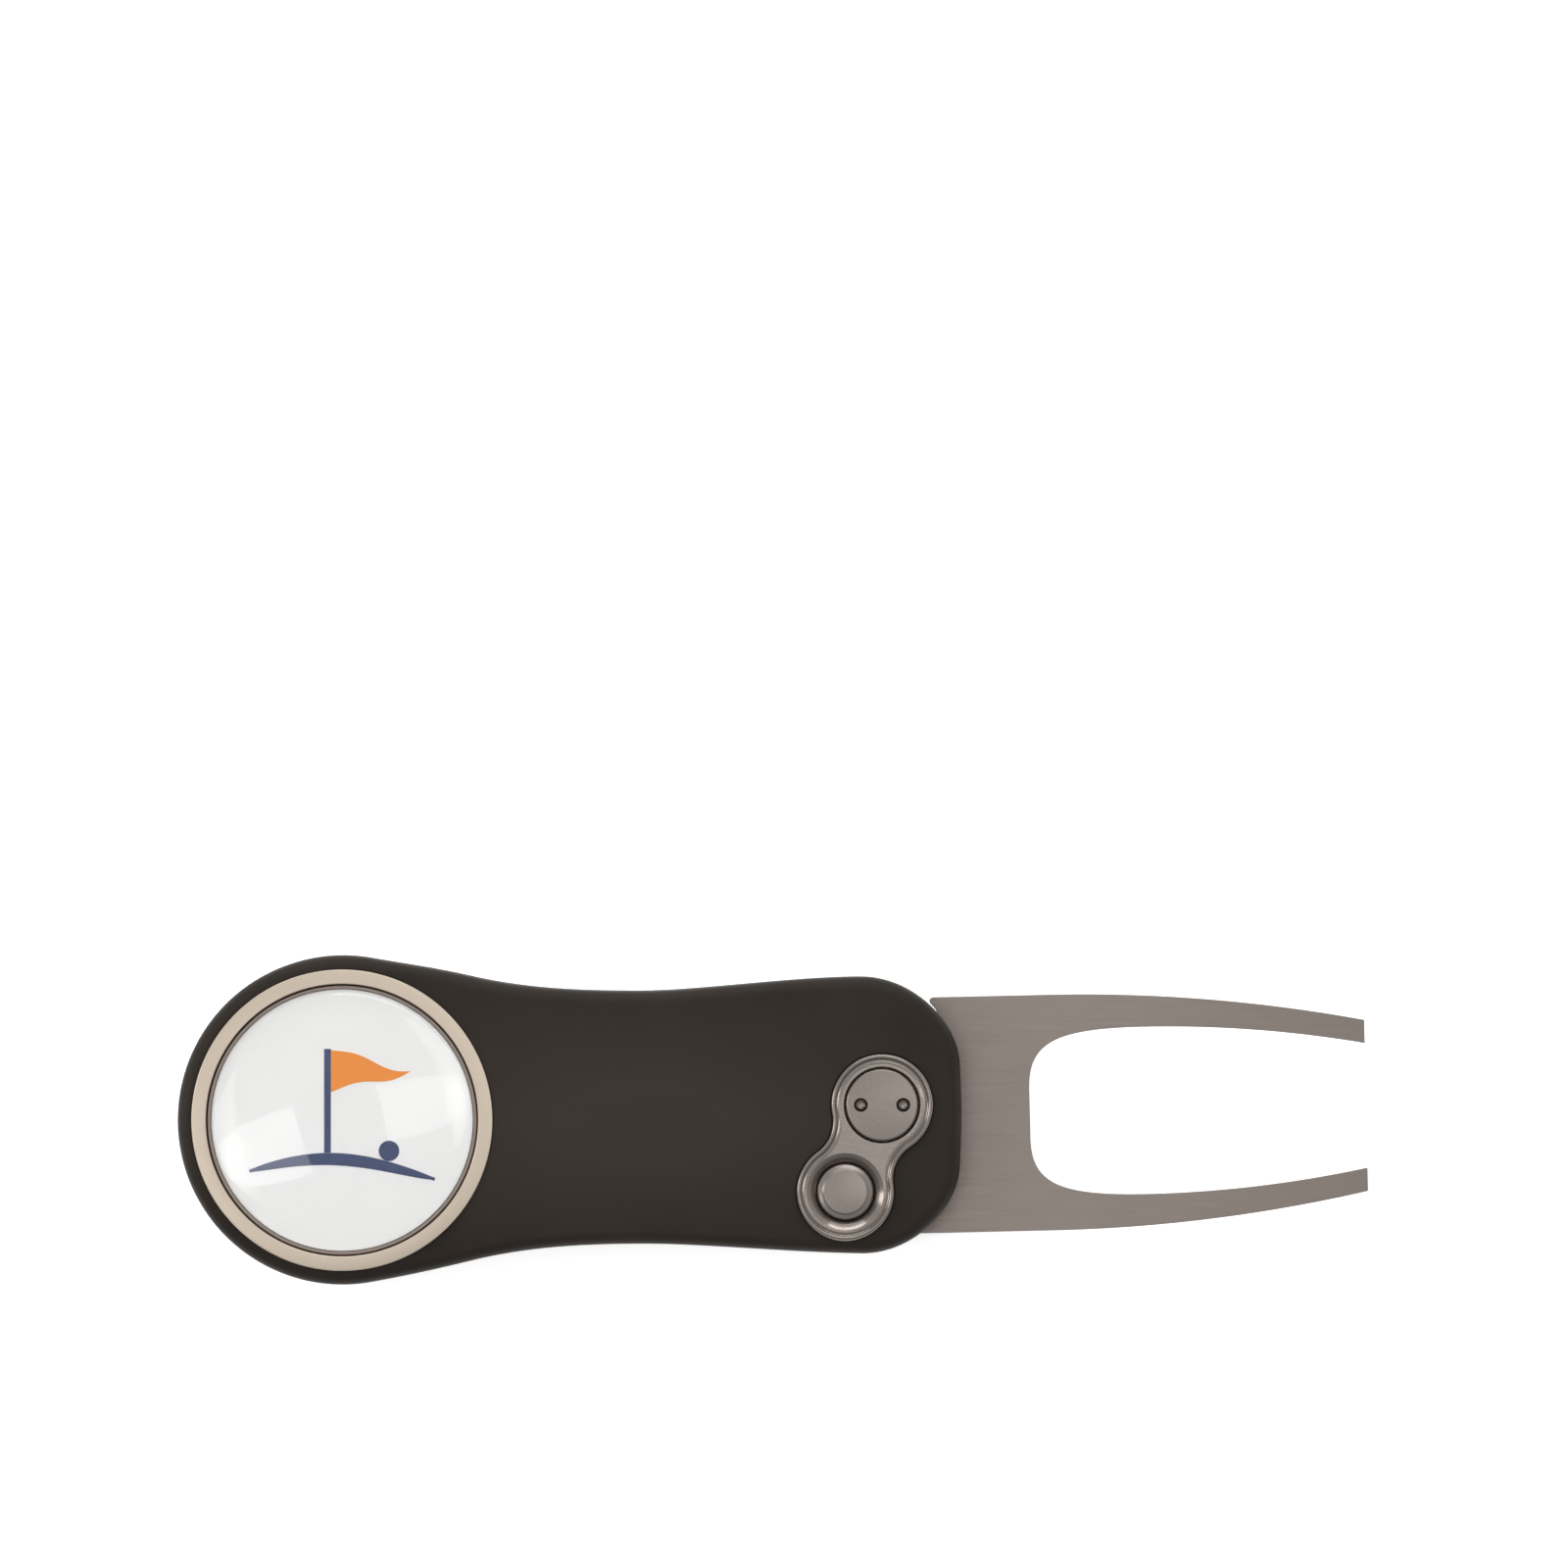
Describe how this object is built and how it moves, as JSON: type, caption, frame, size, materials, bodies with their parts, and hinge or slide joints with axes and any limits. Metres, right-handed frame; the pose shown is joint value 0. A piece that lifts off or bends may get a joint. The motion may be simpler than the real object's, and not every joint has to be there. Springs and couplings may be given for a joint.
{
  "type": "divot repair tool",
  "caption": "Pocket divot repair tool: a two-pronged fork folds into a waisted handle with a magnetic ball marker, a lock button and a pencil sharpener.",
  "frame": {"origin": "under the middle of the open tool's bounding box, on the plane of the rear face that it lies on", "axes": "+X along the open tool towards the fork's tips, +Y across it, +Z out of the front face with the ball marker"},
  "size_m": [0.1108, 0.0306, 0.0132],
  "materials": {
    "shell_soft_touch": "soft-touch coated, very dark warm grey",
    "spacer_plastic": "moulded, black",
    "fork_steel": "steel with a satin titanium-grey coating",
    "trim_metal": "polished warm-grey plating",
    "hardware_steel": "bright zinc",
    "washer_brass": "plain bearing bronze",
    "ring_metal": "satin champagne anodised",
    "magnet_nickel": "nickel plated",
    "marker_bronze": "dark nickel plating",
    "marker_label": "white printed film",
    "marker_resin": "clear domed resin",
    "sharpener_metal": "machined magnesium alloy",
    "blade_steel": "ground and blued steel"
  },
  "bodies": {
    "handle": {"front_shell": "shell_soft_touch", "rear_shell": "shell_soft_touch", "spine_spacer": "spacer_plastic", "head_spacer": "spacer_plastic", "escutcheon": "trim_metal", "pivot_screw": "trim_metal", "pivot_barrel": "hardware_steel", "front_washer": "washer_brass", "rear_washer": "washer_brass", "opening_spring": "hardware_steel", "button_spring": "hardware_steel", "anchor_pin": "hardware_steel", "case_screw_1": "hardware_steel", "case_screw_2": "hardware_steel", "case_screw_3": "hardware_steel", "marker_ring": "ring_metal", "marker_magnet": "magnet_nickel", "sharpener_body": "sharpener_metal", "sharpener_blade": "blade_steel", "sharpener_screw": "hardware_steel"},
    "fork": {"fork": "fork_steel"},
    "button": {"button_cap": "trim_metal", "lock_pin": "hardware_steel"},
    "marker": {"marker_base": "marker_bronze", "marker_print": "marker_label", "marker_dome": "marker_resin"}
  },
  "joints": [
    {"name": "fork_hinge", "type": "hinge", "parent": "handle", "child": "fork", "pos_m": [0.01011, 0.00142, 0.0063], "axis": [0, 0, 1], "range_deg": [0, 182], "stiffness_Nm_per_rad": 0.006, "springref_deg": -60.16, "deforming": ["opening_spring"]},
    {"name": "button_press", "type": "slide", "parent": "handle", "child": "button", "axis": [0, 0, -1], "range_m": [0, 0.0016], "stiffness_N_per_m": 1200, "springref_m": -0.002, "deforming": ["button_spring"]},
    {"name": "marker_lift", "type": "slide", "parent": "handle", "child": "marker", "axis": [0, 0, 1], "range_m": [0, 0.015]}
  ]
}
